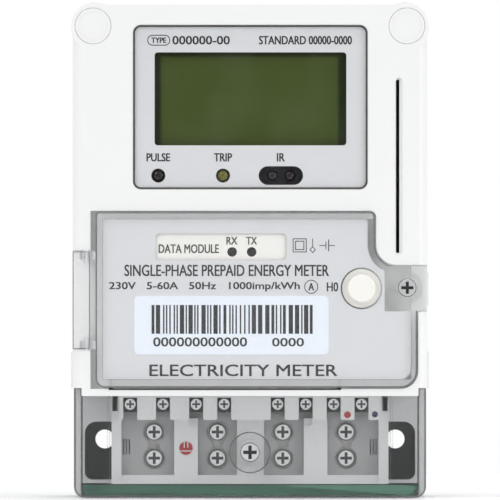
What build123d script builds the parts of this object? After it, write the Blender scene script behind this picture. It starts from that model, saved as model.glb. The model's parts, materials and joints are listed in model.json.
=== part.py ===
"""Single-phase prepaid electricity meter, built as separate pieces.

Millimetres. The wall plane is Y = 0 and the meter's front faces -Y, with +X to the right and +Z up.
The origin is midway between the two lower wall-fixing screws, on the wall.
Depths are given as a height h in front of the wall, so h = 60 is Y = -60.
"""

from build123d import *
import os

os.makedirs("parts", exist_ok=True)

# ---------------------------------------------------------------- case
CASE_HALF = 55.5  # half width across the straight sides
SKIRT_HALF = 56.0  # half width across the lower skirt and the latch ear
CASE_TOP = 137.5
CASE_BOTTOM = -17.8
HOUSING_BOTTOM = 14.2  # lower edge of the front housing, above the terminal zone
WALL = 2.5
FLOOR = 2.5  # back wall of the base shell
BASE_RIM = 27.0
SEAM = 28.0  # back edge of the front housing; the gasket fills the step
FACE = 68.5  # front face of the housing
PLATE = 3.0  # thickness of the housing's front plate
SIDE_FILLET = 3.0
TOP_FILLET = 1.0
SKIRT_TOP, SKIRT_SETBACK = 28.0, 2.6
BOTTOM_R, BOTTOM_R_IN = 3.5, 2.6  # lower corners of the case and of the terminal cover

# ---------------------------------------------------------------- corner towers and seal caps
TOWER_X, TOWER_Z, TOWER_R = 48.2, 129.7, 7.8
SLOPE_Z = TOWER_Z - 2.7  # the case's upper corners slope from here to the top
CAP_X, CAP_Z, CAP_R = 49.1, 130.0, 5.62
CAP_HOLE_R = 5.7
CAP_DEPTH = 3.6
SCREW_HEAD_R = 3.1
SCREW_SHANK_R = 1.8
SCREW_SEAT, SCREW_TOP, SCREW_TIP = 49.0, 51.6, 10.0  # heights of the case screws

# ---------------------------------------------------------------- wall fixings
FIXING_X = 46.0  # half the distance between the lower fixing holes
FIXING_R = 3.0
WELL_OUT, WELL_IN = 52.1, 43.5  # outer and flat inner side of the D-shaped wells
WELL_TOP, WELL_BOTTOM = 5.8, -12.5
WELL_RIM = 26.0
WELL_WALL = 1.3
HANGER_HALF = 12.0
HANGER_BOTTOM, HANGER_TOP = 108.0, 136.5
HANGER_HOLE_Z, HANGER_HOLE_R = 129.5, 2.75
HANGER_LIP_HALF = 9.4  # narrower part of the plate, level with the back of the case
HANGER_BACK, HANGER_STEP, HANGER_FRONT = 0.2, 1.1, 3.2

# ---------------------------------------------------------------- display
PANEL_X, PANEL_Z = 0.1, 104.6
PANEL_W, PANEL_H, PANEL_R = 73.4, 51.4, 2.5
LENS_BACK, LENS_FRONT = 66.5, 68.1
MASK_BACK = 65.9  # the printed mask lies between here and the lens
LCD_FRONT = 63.6
LCD_X, LCD_Z, LCD_W, LCD_H = 0.15, 107.2, 60.0, 29.1
GLASS_W, GLASS_H, GLASS_T = 64.0, 34.0, 2.8
LEDGE = 0.8  # width of the lens's ledge
LAMP_Z, LAMP_R, LAMP_TIP = 83.2, 2.2, 66.2
PULSE_X, TRIP_X = -28.7, -8.45
IR_X, IR_W, IR_H = 9.65, 13.9, 5.85
IR_DIODES_X = (7.0, 12.45)

# ---------------------------------------------------------------- card slot
SLOT_X, SLOT_Z, SLOT_W, SLOT_H = 46.55, 86.1, 1.75, 54.8
SLOT_MOUTH = 1.1  # depth of the wide mouth
THROAT_X, THROAT_W, THROAT_H = 46.2, 1.05, 54.2  # the card passes here
ARROW_LEFT, ARROW_TIP, ARROW_Z, ARROW_HALF = 39.4, 42.2, 86.05, 2.35
READER_W, CARD_PATH_W = 7.2, 1.2
READER_BACK, CARD_STOP = 38.0, 42.0
CONTACT_COUNT, CONTACT_PITCH = 8, 1.8

# ---------------------------------------------------------------- flip cover, its hinge and its latch
COVER_FACE, COVER_INNER, COVER_BACK = 70.5, 68.5, 63.8
RECESS_FLOOR = 63.5
COVER_LEFT, COVER_RIGHT, COVER_TOP, COVER_BOTTOM = -48.3, 39.1, 71.8, 16.8
COVER_LOWER_RIGHT = 52.3
COVER_WALL = 2.2
PLATE_RIGHT, PLATE_BOTTOM, PLATE_TOP = 50.4, 19.4, 69.6  # the nameplate, inside the cover's wall
BITE_X, BITE_Z, BITE_R = 45.7, 61.5, 6.6  # round step between the cover's top right and the ear
EAR_LEFT, EAR_TOP, EAR_BOTTOM = 42.2, 54.9, 40.9
EAR_BACK, EAR_FACE, EAR_R = 62.0, 69.8, 3.1
POCKET_FLOOR = 61.5
LATCH_X, LATCH_Z = 49.2, 48.1
LATCH_WELL_R, LATCH_WELL_FLOOR = 4.9, 66.0
LATCH_HEAD_R, LATCH_HEAD_TOP = 2.85, 69.4
LATCH_SHANK_R, LATCH_TIP_R = 2.0, 1.4  # the sealing screw has the same shank
LATCH_TAPER, LATCH_TIP = 61.6, 57.0  # heights where the taper starts and ends
INSERT_R, INSERT_BORE = 2.6, 2.05
RECESS_LEFT = -49.9
GAP = 0.35
HINGE_X, HINGE_H = -51.2, 67.3
PIN_R, KNUCKLE_R, KNUCKLE_BORE = 0.8, 2.3, 0.86
PIN_REACH = 4.3  # length of a hinge pin held in the housing
WING_TOP, WING_BOTTOM, WING_FACE = 59.5, 28.9, 69.8
KNUCKLE_H = 2.6
NOTCH_FLOOR, NOTCH_RIGHT = 61.8, -49.6

# ---------------------------------------------------------------- display button
BUTTON_X, BUTTON_Z = 34.9, 47.9
BUTTON_CAP_R, BUTTON_RING_R, BUTTON_STEM_R = 4.4, 6.1, 2.6
BUTTON_END, BUTTON_SHOULDER, BUTTON_TOP = 61.2, 67.5, 71.0

# ---------------------------------------------------------------- communication module bay
BAY_LEFT, BAY_RIGHT, BAY_BOTTOM, BAY_TOP = -44.2, 28.5, 16.1, 69.2
BAY_FLOOR, BAY_WALL = 41.0, 1.5
MODULE_LEFT, MODULE_RIGHT = -43.2, 27.5
MODULE_FRONT, MODULE_BOTTOM, MODULE_TOP = 67.0, 16.5, 68.8
LABEL_LEFT, LABEL_RIGHT, LABEL_BOTTOM, LABEL_TOP = -29.6, 11.5, 56.7, 65.1
RX_X, TX_X, RXTX_Z = -5.6, 0.5, 59.3

# ---------------------------------------------------------------- terminal block and cover
BLOCK_HALF, BLOCK_BOTTOM, BLOCK_TOP = 43.5, -13.6, 14.0
BLOCK_BACK, BLOCK_FLOOR = 12.0, 44.0
RIB_FRONT, DECK_FRONT = 47.0, 53.0
DECK_BOTTOM = 6.6
MAIN_X = (-30.1, -10.2, 10.3, 30.2)
MAIN_SCREW_Z = (2.7, -5.5)
MAIN_SCREW_R = 2.65
TERMINAL_HALF, TERMINAL_BACK, TERMINAL_FRONT = 5.5, 30.0, 41.0
TERMINAL_BOTTOM, TERMINAL_TOP = -12.6, 12.0
TERMINAL_SCREW_R, MAIN_HEAD_TOP = 2.0, 45.6
TAIL_HALF = 3.5  # half width of the tails that run up to the board
WIRE_R, WIRE_H = 4.2, 35.5
AUX_X = (-37.6, -27.3, -16.9, -8.1, 8.7, 17.5, 26.25, 35.0)
AUX_Z, AUX_HALF = 11.5, 2.2
AUX_WIRE_R, AUX_WIRE_H = 1.3, 48.6
AUX_FRONT, AUX_HEAD_TOP = 50.2, 52.0
HOOK_X = 42.4
SIDE_RIB_X = 44.4
TC_OUT, TC_IN, TC_FACE, TC_RIM = 55.2, 53.1, 66.0, 27.4
TC_SHOULDER = 16.4  # top of the terminal cover's side walls
SEAL_X, SEAL_Z = 0.0, -3.5
SEAL_WELL_OUT, SEAL_WELL_IN, SEAL_WELL_FLOOR = 7.2, 6.1, 54.0
SEAL_SEAT = 51.5
SEAL_HEAD_R, SEAL_HEAD_TOP = 3.0, 60.0
STRIP_HALF, STRIP_BOTTOM, STRIP_TOP = 52.4, -16.9, -13.7  # soft strip along the cover's lower edge

# ---------------------------------------------------------------- boards
MAIN_BOARD_H, BOARD_T = 34.0, 1.6
DISPLAY_BOARD_H = 55.2
BOARD_POSTS = ((-47, 30), (47, 30), (-30, 118), (30, 118))
POST_R, POST_HOLE_R = 2.6, 1.1


def wall_plane(h):
    """Plane parallel to the wall and h in front of it, with local x along X and local y along Z."""
    return Plane.XZ.offset(h)


def block(x0, x1, h0, h1, z0, z1, mode=Mode.ADD):
    """Straight block between two heights in front of the wall."""
    with Locations(((x0 + x1) / 2, -(h0 + h1) / 2, (z0 + z1) / 2)):
        Box(x1 - x0, h1 - h0, z1 - z0, mode=mode)


def boss(x, z, h0, h1, r, mode=Mode.ADD):
    """Round boss or hole square to the wall."""
    with Locations((x, -(h0 + h1) / 2, z)):
        Cylinder(r, h1 - h0, rotation=(90, 0, 0), mode=mode)


def upright(x, h, z0, z1, r, mode=Mode.ADD):
    """Round bar or hole along Z."""
    with Locations((x, -h, (z0 + z1) / 2)):
        Cylinder(r, z1 - z0, mode=mode)


def rect(x0, x1, z0, z1, mode=Mode.ADD):
    """Rectangle in a sketch on a wall plane."""
    with Locations(((x0 + x1) / 2, (z0 + z1) / 2)):
        Rectangle(x1 - x0, z1 - z0, mode=mode)


def cross_recess(x, z, top, size, depth):
    """Cross recess sunk into a screw head whose face is at height top."""
    block(x - size, x + size, top - depth, top, z - size / 4, z + size / 4, Mode.SUBTRACT)
    block(x - size / 4, x + size / 4, top - depth, top, z - size, z + size, Mode.SUBTRACT)


def write(builder, name):
    builder.part.label = name
    export_step(builder.part, "parts/" + name + ".step")


# ---------------------------------------------------------------- shared outlines
with BuildSketch() as case_outline:
    with BuildLine():
        Polyline(
            (-CASE_HALF, CASE_BOTTOM),
            (CASE_HALF, CASE_BOTTOM),
            (CASE_HALF, SLOPE_Z),
            (TOWER_X, CASE_TOP),
            (-TOWER_X, CASE_TOP),
            (-CASE_HALF, SLOPE_Z),
            close=True,
        )
    make_face()
    fillet(case_outline.vertices().group_by(Axis.Y)[0], BOTTOM_R)

with BuildSketch() as cover_outline:
    with BuildLine():
        Line((COVER_LEFT, COVER_BOTTOM), (COVER_LEFT, COVER_TOP))
        Line((COVER_LEFT, COVER_TOP), (COVER_RIGHT, COVER_TOP))
        Line((COVER_RIGHT, COVER_TOP), (COVER_RIGHT, BITE_Z))
        CenterArc((BITE_X, BITE_Z), BITE_R, 180, 90)
        Line((BITE_X, EAR_TOP), (SKIRT_HALF, EAR_TOP))
        Line((SKIRT_HALF, EAR_TOP), (SKIRT_HALF, EAR_BOTTOM))
        Line((SKIRT_HALF, EAR_BOTTOM), (COVER_LOWER_RIGHT, EAR_BOTTOM))
        Line((COVER_LOWER_RIGHT, EAR_BOTTOM), (COVER_LOWER_RIGHT, COVER_BOTTOM))
        Line((COVER_LOWER_RIGHT, COVER_BOTTOM), (COVER_LEFT, COVER_BOTTOM))
    make_face()
    corners = cover_outline.vertices()
    fillet(corners.sort_by_distance((COVER_LOWER_RIGHT, COVER_BOTTOM))[0], 5.3)
    fillet(cover_outline.vertices().sort_by_distance((COVER_LEFT, COVER_BOTTOM))[0], 3.0)
    fillet(cover_outline.vertices().sort_by_distance((COVER_LEFT, COVER_TOP))[0], 1.3)
    fillet(cover_outline.vertices().sort_by_distance((COVER_RIGHT, COVER_TOP))[0], 1.6)
    fillet(cover_outline.vertices().sort_by_distance((SKIRT_HALF, EAR_TOP))[0], EAR_R)
    fillet(cover_outline.vertices().sort_by_distance((SKIRT_HALF, EAR_BOTTOM))[0], EAR_R)

# inside of the flip cover's wall, without the ear: the nameplate's outline
with BuildSketch() as plate_outline:
    with BuildLine():
        Line((COVER_LEFT + COVER_WALL, PLATE_BOTTOM), (COVER_LEFT + COVER_WALL, PLATE_TOP))
        Line((COVER_LEFT + COVER_WALL, PLATE_TOP), (COVER_RIGHT - COVER_WALL, PLATE_TOP))
        Line((COVER_RIGHT - COVER_WALL, PLATE_TOP), (COVER_RIGHT - COVER_WALL, BITE_Z))
        bite = CenterArc((BITE_X, BITE_Z), BITE_R + COVER_WALL, 180, 66.5)
        Line(bite @ 1, (EAR_LEFT, (bite @ 1).Y))
        Line((EAR_LEFT, (bite @ 1).Y), (EAR_LEFT, EAR_BOTTOM - 0.1))
        Line((EAR_LEFT, EAR_BOTTOM - 0.1), (PLATE_RIGHT, EAR_BOTTOM - 0.1))
        Line((PLATE_RIGHT, EAR_BOTTOM - 0.1), (PLATE_RIGHT, PLATE_BOTTOM))
        Line((PLATE_RIGHT, PLATE_BOTTOM), (COVER_LEFT + COVER_WALL, PLATE_BOTTOM))
    make_face()
    fillet(plate_outline.vertices().sort_by_distance((PLATE_RIGHT, PLATE_BOTTOM))[0], 3.4)
    fillet(plate_outline.vertices().sort_by_distance((COVER_LEFT + COVER_WALL, PLATE_TOP))[0], 0.8)
    fillet(plate_outline.vertices().sort_by_distance((COVER_RIGHT - COVER_WALL, PLATE_TOP))[0], 0.8)

# one D-shaped well, at the right; its flat side faces the terminal block
with BuildSketch() as well_outline:
    rect(WELL_IN, WELL_OUT, WELL_BOTTOM, WELL_TOP)
    outer = well_outline.vertices().group_by(Axis.X)[-1]
    fillet(outer.sort_by(Axis.Y)[-1], 3.75)
    fillet(well_outline.vertices().sort_by_distance((WELL_OUT, WELL_BOTTOM))[0], 2.4)

# wall round that well
with BuildSketch() as well_ring:
    add(offset(well_outline.sketch, amount=WELL_WALL, kind=Kind.ARC, mode=Mode.PRIVATE))
    add(well_outline.sketch, mode=Mode.SUBTRACT)

# ---------------------------------------------------------------- base shell
with BuildPart() as base_shell:
    with BuildSketch(wall_plane(0)):
        add(case_outline.sketch)
        with Locations((-TOWER_X, TOWER_Z), (TOWER_X, TOWER_Z)):
            Circle(TOWER_R)
    extrude(amount=BASE_RIM)
    chamfer(base_shell.edges().group_by(Axis.Y)[-1], 0.6)
    with BuildSketch(wall_plane(FLOOR)):
        add(offset(case_outline.sketch, amount=-WALL, kind=Kind.INTERSECTION, mode=Mode.PRIVATE))
    extrude(amount=BASE_RIM - FLOOR, mode=Mode.SUBTRACT)
    # corner towers that take the case screws
    with BuildSketch(wall_plane(FLOOR)):
        with Locations((-CAP_X, CAP_Z), (CAP_X, CAP_Z)):
            Circle(5.4)
    extrude(amount=BASE_RIM - FLOOR)
    for side in (-1, 1):
        boss(side * CAP_X, CAP_Z, SCREW_TIP - 2, BASE_RIM, SCREW_SHANK_R + 0.05, Mode.SUBTRACT)
    # wells round the lower fixing holes
    with BuildSketch(wall_plane(FLOOR)):
        add(well_ring.sketch)
        add(mirror(well_ring.sketch, Plane.YZ, mode=Mode.PRIVATE))
    extrude(amount=WELL_RIM - FLOOR)
    for side in (-1, 1):
        boss(side * FIXING_X, 0, -1, FLOOR + 1, FIXING_R, Mode.SUBTRACT)
    # hanger channel, sunk into a thickened stretch of the back wall, open at the top
    block(-HANGER_HALF - 3, HANGER_HALF + 3, FLOOR, 6.0, HANGER_BOTTOM - 3, CASE_TOP - WALL)
    block(
        -HANGER_HALF - 0.1, HANGER_HALF + 0.1, HANGER_STEP - 0.2, HANGER_FRONT + 0.1,
        HANGER_BOTTOM, CASE_TOP + 1, Mode.SUBTRACT,
    )
    block(-HANGER_LIP_HALF - 0.2, HANGER_LIP_HALF + 0.2, -1, 1.0, HANGER_BOTTOM, CASE_TOP + 1, Mode.SUBTRACT)
    # posts under the main board, and two rails under the terminal block
    for post_x, post_z in BOARD_POSTS:
        boss(post_x, post_z, FLOOR, MAIN_BOARD_H, POST_R)
        boss(post_x, post_z, MAIN_BOARD_H - 8, MAIN_BOARD_H, POST_HOLE_R, Mode.SUBTRACT)
    for side in (-1, 1):
        block(side * 20 - 1.5, side * 20 + 1.5, FLOOR, BLOCK_BACK, -10, 11)
    # shallow grooves across the outside of the back
    for groove_z in (30, 50, 70, 90):
        block(-42, 42, 0, 0.4, groove_z - 0.75, groove_z + 0.75, Mode.SUBTRACT)
write(base_shell, "base_shell")

# ---------------------------------------------------------------- case gasket
with BuildPart() as case_gasket:
    with BuildSketch(wall_plane(BASE_RIM)):
        add(offset(case_outline.sketch, amount=-0.3, kind=Kind.INTERSECTION, mode=Mode.PRIVATE))
        inner_edge = offset(case_outline.sketch, amount=-2.3, kind=Kind.INTERSECTION, mode=Mode.PRIVATE)
        add(inner_edge, mode=Mode.SUBTRACT)
        with Locations((-TOWER_X, TOWER_Z), (TOWER_X, TOWER_Z)):
            Circle(TOWER_R - 0.3)
        with Locations((-CAP_X, CAP_Z), (CAP_X, CAP_Z)):
            Circle(SCREW_SHANK_R + 0.3, mode=Mode.SUBTRACT)
        rect(-60, 60, -30, TC_SHOULDER + 0.5, Mode.SUBTRACT)
    extrude(amount=SEAM - BASE_RIM)
write(case_gasket, "case_gasket")

# ---------------------------------------------------------------- front housing
with BuildPart() as front_housing:
    with BuildSketch(wall_plane(SEAM)):
        with BuildLine():
            Polyline(
                (-CASE_HALF, HOUSING_BOTTOM),
                (CASE_HALF, HOUSING_BOTTOM),
                (CASE_HALF, SLOPE_Z),
                (TOWER_X, CASE_TOP),
                (-TOWER_X, CASE_TOP),
                (-CASE_HALF, SLOPE_Z),
                close=True,
            )
        make_face()
    extrude(amount=FACE - SEAM)
    front_edges = front_housing.edges().group_by(Axis.Y)[0]
    fillet(front_edges.filter_by(Axis.Z), SIDE_FILLET)
    top_edge = front_housing.edges().filter_by(Axis.X).group_by(Axis.Z)[-1].sort_by(Axis.Y)[0]
    fillet(top_edge, TOP_FILLET)
    # lower skirt, slightly proud of the sides
    for side in (-1, 1):
        x_in, x_out = side * (CASE_HALF - 1.5), side * SKIRT_HALF
        block(min(x_in, x_out), max(x_in, x_out), SEAM, FACE - SKIRT_SETBACK, HOUSING_BOTTOM, SKIRT_TOP)
    # hollow inside
    with BuildSketch(wall_plane(SEAM)):
        with BuildLine():
            Polyline(
                (-CASE_HALF + WALL, BAY_BOTTOM),
                (CASE_HALF - WALL, BAY_BOTTOM),
                (CASE_HALF - WALL, TOWER_Z - 4),
                (TOWER_X - 1.5, CASE_TOP - WALL),
                (-TOWER_X + 1.5, CASE_TOP - WALL),
                (-CASE_HALF + WALL, TOWER_Z - 4),
                close=True,
            )
        make_face()
    extrude(amount=FACE - PLATE - SEAM, mode=Mode.SUBTRACT)
    # round corner towers
    with BuildSketch(wall_plane(SEAM)):
        with Locations((-TOWER_X, TOWER_Z), (TOWER_X, TOWER_Z)):
            Circle(TOWER_R)
    extrude(amount=FACE - SEAM)
    for side in (-1, 1):
        boss(side * CAP_X, CAP_Z, FACE - CAP_DEPTH, FACE + 1, CAP_HOLE_R, Mode.SUBTRACT)
        boss(side * CAP_X, CAP_Z, SCREW_SEAT, FACE, SCREW_HEAD_R + 0.4, Mode.SUBTRACT)
        boss(side * CAP_X, CAP_Z, SEAM - 1, FACE, SCREW_SHANK_R + 0.3, Mode.SUBTRACT)
    # solid backing behind the flip cover's recess, the hinge notch and the latch pocket
    with BuildSketch(wall_plane(RECESS_FLOOR - 2.5)):
        add(offset(cover_outline.sketch, amount=2.6, kind=Kind.INTERSECTION, mode=Mode.PRIVATE))
        rect(-60, RECESS_LEFT - 1.5, -10, 100, Mode.SUBTRACT)
        rect(CASE_HALF - 1, 70, -10, 100, Mode.SUBTRACT)
        rect(-60, 60, -10, BAY_BOTTOM, Mode.SUBTRACT)
    extrude(amount=FACE - RECESS_FLOOR + 2.5 - 1)
    block(-CASE_HALF + 1, -46.5, NOTCH_FLOOR - 2.5, FACE - 2, WING_BOTTOM - 4.5, WING_TOP + 5.5)
    block(40.5, CASE_HALF - 0.5, 59.0, FACE - 2, EAR_BOTTOM - 2.5, EAR_TOP + 2.5)
    boss(LATCH_X, LATCH_Z, 50.0, 60.0, 5.0)
    # bay tub for the communication module
    block(
        BAY_LEFT - BAY_WALL, BAY_RIGHT + BAY_WALL, BAY_FLOOR - BAY_WALL, FACE - 4,
        BAY_BOTTOM - 1, BAY_TOP + BAY_WALL,
    )
    block(BAY_LEFT, BAY_RIGHT, BAY_FLOOR, FACE + 1, BAY_BOTTOM, BAY_TOP, Mode.SUBTRACT)
    block(-20, 4, BAY_FLOOR - 3, BAY_FLOOR + 1, 58.0, 64.0, Mode.SUBTRACT)
    # recess round the flip cover
    with BuildSketch(wall_plane(RECESS_FLOOR)):
        add(offset(cover_outline.sketch, amount=GAP, kind=Kind.INTERSECTION, mode=Mode.PRIVATE))
        rect(RECESS_LEFT, COVER_LEFT + 2, COVER_BOTTOM - GAP, COVER_TOP + GAP)
    extrude(amount=10, mode=Mode.SUBTRACT)
    # latch pocket, open at the side
    block(EAR_LEFT - GAP, 60, POCKET_FLOOR, FACE + 1, EAR_BOTTOM - GAP, EAR_TOP + GAP, Mode.SUBTRACT)
    # hinge notch and pin holes
    block(-60, NOTCH_RIGHT, NOTCH_FLOOR, FACE + 2, WING_BOTTOM - 0.3, WING_TOP + 0.3, Mode.SUBTRACT)
    upright(HINGE_X, HINGE_H, WING_TOP, WING_TOP + PIN_REACH, PIN_R, Mode.SUBTRACT)
    upright(HINGE_X, HINGE_H, WING_BOTTOM - PIN_REACH, WING_BOTTOM, PIN_R, Mode.SUBTRACT)
    # latch insert and button guide
    boss(LATCH_X, LATCH_Z, 52.0, POCKET_FLOOR + 0.1, INSERT_R, Mode.SUBTRACT)
    boss(BUTTON_X, BUTTON_Z, RECESS_FLOOR - 4, RECESS_FLOOR, 4.6)
    boss(BUTTON_X, BUTTON_Z, 55, RECESS_FLOOR + 1, BUTTON_STEM_R + 0.3, Mode.SUBTRACT)
    # display opening: a pocket for the lens and a ledge behind it
    with BuildSketch(wall_plane(LENS_BACK)):
        with Locations((PANEL_X, PANEL_Z)):
            RectangleRounded(PANEL_W + 0.3, PANEL_H + 0.3, PANEL_R + 0.15)
    extrude(amount=5, mode=Mode.SUBTRACT)
    with BuildSketch(wall_plane(FACE - PLATE - 1)):
        with Locations((PANEL_X, PANEL_Z)):
            RectangleRounded(PANEL_W - 2 * LEDGE, PANEL_H - 2 * LEDGE, PANEL_R - LEDGE)
    extrude(amount=6, mode=Mode.SUBTRACT)
    # card slot: a shallow mouth with a soft rim, and a throat through the plate
    with BuildSketch(wall_plane(FACE - SLOT_MOUTH)):
        with Locations((SLOT_X, SLOT_Z)):
            SlotOverall(SLOT_H, SLOT_W, rotation=90)
    extrude(amount=SLOT_MOUTH, mode=Mode.SUBTRACT)
    block(
        THROAT_X - THROAT_W / 2, THROAT_X + THROAT_W / 2, FACE - PLATE - 1, FACE - SLOT_MOUTH,
        SLOT_Z - THROAT_H / 2, SLOT_Z + THROAT_H / 2, Mode.SUBTRACT,
    )
    slot_rim = front_housing.edges().filter_by(
        lambda e: abs(e.center().Y + FACE) < 0.01 and abs(e.center().X - SLOT_X) < 1.2 and e.length > 1
    )
    chamfer(slot_rim, 0.35, 0.9)
    # arrow beside the slot, pointing at it
    with BuildSketch(wall_plane(FACE)):
        with BuildLine():
            Polyline(
                (ARROW_LEFT, ARROW_Z + ARROW_HALF),
                (ARROW_LEFT, ARROW_Z - ARROW_HALF),
                (ARROW_TIP, ARROW_Z),
                close=True,
            )
        make_face()
    extrude(amount=0.25)
    # terminal zone: inset for the terminal cover's shoulders, and slots for the busbars
    for side in (-1, 1):
        x_in, x_out = side * (TC_IN - 0.4), side * (SKIRT_HALF + 1)
        block(min(x_in, x_out), max(x_in, x_out), SEAM - 1, FACE + 1, 10, TC_SHOULDER + 0.3, Mode.SUBTRACT)
    for main_x in MAIN_X:
        block(main_x - 4.2, main_x + 4.2, 30.4, 34.4, HOUSING_BOTTOM - 1, BAY_BOTTOM + 1, Mode.SUBTRACT)
write(front_housing, "front_housing")

# ---------------------------------------------------------------- seal caps and case screws
for cap_name, side in (("seal_cap_left", -1), ("seal_cap_right", 1)):
    with BuildPart() as seal_cap:
        boss(side * CAP_X, CAP_Z, FACE - CAP_DEPTH + 0.1, FACE, CAP_R)
        chamfer(seal_cap.edges().group_by(Axis.Y)[0], 0.2)
        boss(side * CAP_X, CAP_Z, FACE - CAP_DEPTH, FACE - 1.4, 4.4, Mode.SUBTRACT)
        # shallow grip ring
        boss(side * CAP_X, CAP_Z, FACE - 0.12, FACE + 1, 4.6, Mode.SUBTRACT)
        boss(side * CAP_X, CAP_Z, FACE - 0.2, FACE, 4.3)
    write(seal_cap, cap_name)

with BuildPart() as case_screws:
    for side in (-1, 1):
        boss(side * CAP_X, CAP_Z, SCREW_TIP, SCREW_SEAT + 0.1, SCREW_SHANK_R)
        boss(side * CAP_X, CAP_Z, SCREW_SEAT, SCREW_TOP, SCREW_HEAD_R)
        cross_recess(side * CAP_X, CAP_Z, SCREW_TOP, 2.0, 1.4)
write(case_screws, "case_screws")

# ---------------------------------------------------------------- hanger plate in the back
with BuildPart() as hanger_plate:
    block(-HANGER_HALF, HANGER_HALF, HANGER_STEP, HANGER_FRONT, HANGER_BOTTOM + 0.2, HANGER_TOP)
    fillet(hanger_plate.edges().filter_by(Axis.Y).group_by(Axis.Z)[-1], 2.0)
    block(
        -HANGER_LIP_HALF, HANGER_LIP_HALF, HANGER_BACK, HANGER_STEP + 0.1,
        HANGER_BOTTOM + 0.2, HANGER_TOP,
    )
    boss(0, HANGER_HOLE_Z, -1, 5, HANGER_HOLE_R, Mode.SUBTRACT)
    block(-6, 6, -0.1, 0.7, 112, 114, Mode.SUBTRACT)
write(hanger_plate, "hanger_plate")

# ---------------------------------------------------------------- display
with BuildPart() as display_lens:
    with BuildSketch(wall_plane(LENS_BACK)):
        with Locations((PANEL_X, PANEL_Z)):
            RectangleRounded(PANEL_W, PANEL_H, PANEL_R)
    extrude(amount=LENS_FRONT - LENS_BACK)
    chamfer(display_lens.edges().group_by(Axis.Y)[0], 0.25)
write(display_lens, "display_lens")

with BuildPart() as display_mask:
    with BuildSketch(wall_plane(MASK_BACK)):
        with Locations((PANEL_X, PANEL_Z)):
            RectangleRounded(PANEL_W - 2 * LEDGE - 0.1, PANEL_H - 2 * LEDGE - 0.1, PANEL_R - LEDGE - 0.05)
        with Locations((LCD_X, LCD_Z)):
            RectangleRounded(LCD_W, LCD_H, 1.0, mode=Mode.SUBTRACT)
        with Locations((PULSE_X, LAMP_Z), (TRIP_X, LAMP_Z)):
            Circle(LAMP_R, mode=Mode.SUBTRACT)
        with Locations((IR_X, LAMP_Z)):
            SlotOverall(IR_W, IR_H, mode=Mode.SUBTRACT)
    extrude(amount=LENS_BACK - MASK_BACK)
write(display_mask, "display_mask")

with BuildPart() as ir_window:
    with BuildSketch(wall_plane(MASK_BACK)):
        with Locations((IR_X, LAMP_Z)):
            SlotOverall(IR_W - 0.04, IR_H - 0.04)
        with Locations(*[(x, LAMP_Z) for x in IR_DIODES_X]):
            Circle(1.9, mode=Mode.SUBTRACT)
    extrude(amount=0.5)
write(ir_window, "ir_window")

with BuildPart() as lcd_panel:
    with BuildSketch(wall_plane(LCD_FRONT - GLASS_T)):
        with Locations((LCD_X, LCD_Z)):
            Rectangle(GLASS_W, GLASS_H)
    extrude(amount=GLASS_T)
write(lcd_panel, "lcd_panel")

with BuildPart() as lcd_holder:
    block(LCD_X - 33.6, LCD_X + 33.6, DISPLAY_BOARD_H + BOARD_T, MASK_BACK, LCD_Z - 18.4, LCD_Z + 18.4)
    with BuildSketch(wall_plane(LCD_FRONT - GLASS_T)):
        with Locations((LCD_X, LCD_Z)):
            Rectangle(GLASS_W, GLASS_H)
    extrude(amount=GLASS_T, mode=Mode.SUBTRACT)
    block(LCD_X - 30.6, LCD_X + 30.6, LCD_FRONT - 1, MASK_BACK + 1, LCD_Z - 15.1, LCD_Z + 15.1, Mode.SUBTRACT)
    block(LCD_X - 29, LCD_X + 29, 58.0, LCD_FRONT - 2, LCD_Z - 14, LCD_Z + 14, Mode.SUBTRACT)
write(lcd_holder, "lcd_holder")

for lamp_name, lamp_x in (("pulse_lamp", PULSE_X), ("trip_lamp", TRIP_X)):
    with BuildPart() as lamp:
        boss(lamp_x, LAMP_Z, DISPLAY_BOARD_H + BOARD_T, DISPLAY_BOARD_H + BOARD_T + 1.2, 2.0)
        boss(lamp_x, LAMP_Z, DISPLAY_BOARD_H + BOARD_T, LAMP_TIP, 1.9)
        fillet(lamp.edges().group_by(Axis.Y)[0], 1.5)
    write(lamp, lamp_name)

with BuildPart() as ir_diodes:
    for diode_x in IR_DIODES_X:
        boss(diode_x, LAMP_Z, DISPLAY_BOARD_H + BOARD_T, DISPLAY_BOARD_H + BOARD_T + 1.2, 1.9)
        boss(diode_x, LAMP_Z, DISPLAY_BOARD_H + BOARD_T, LAMP_TIP, 1.7)
    fillet(ir_diodes.edges().group_by(Axis.Y)[0], 1.3)
write(ir_diodes, "ir_diodes")

with BuildPart() as display_board:
    with BuildSketch(wall_plane(DISPLAY_BOARD_H)):
        rect(-40, 39.5, 78, 128)
        rect(31, 39.5, 44, 79)
    extrude(amount=BOARD_T)
write(display_board, "display_board")

with BuildPart() as board_header:
    block(-12, 12, MAIN_BOARD_H + BOARD_T, DISPLAY_BOARD_H, 80, 82.5)
write(board_header, "board_header")

# ---------------------------------------------------------------- main board and what it carries
with BuildPart() as main_board:
    with BuildSketch(wall_plane(MAIN_BOARD_H)):
        rect(-51, 51, 20, 121)
        with Locations(*BOARD_POSTS):
            Circle(POST_HOLE_R + 0.2, mode=Mode.SUBTRACT)
    extrude(amount=BOARD_T)
write(main_board, "main_board")

with BuildPart() as board_screws:
    for post_x, post_z in BOARD_POSTS:
        boss(post_x, post_z, MAIN_BOARD_H - 6, MAIN_BOARD_H + BOARD_T + 0.1, POST_HOLE_R)
        boss(post_x, post_z, MAIN_BOARD_H + BOARD_T, MAIN_BOARD_H + BOARD_T + 1.6, 2.2)
        cross_recess(post_x, post_z, MAIN_BOARD_H + BOARD_T + 1.6, 1.4, 0.9)
write(board_screws, "board_screws")

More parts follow.
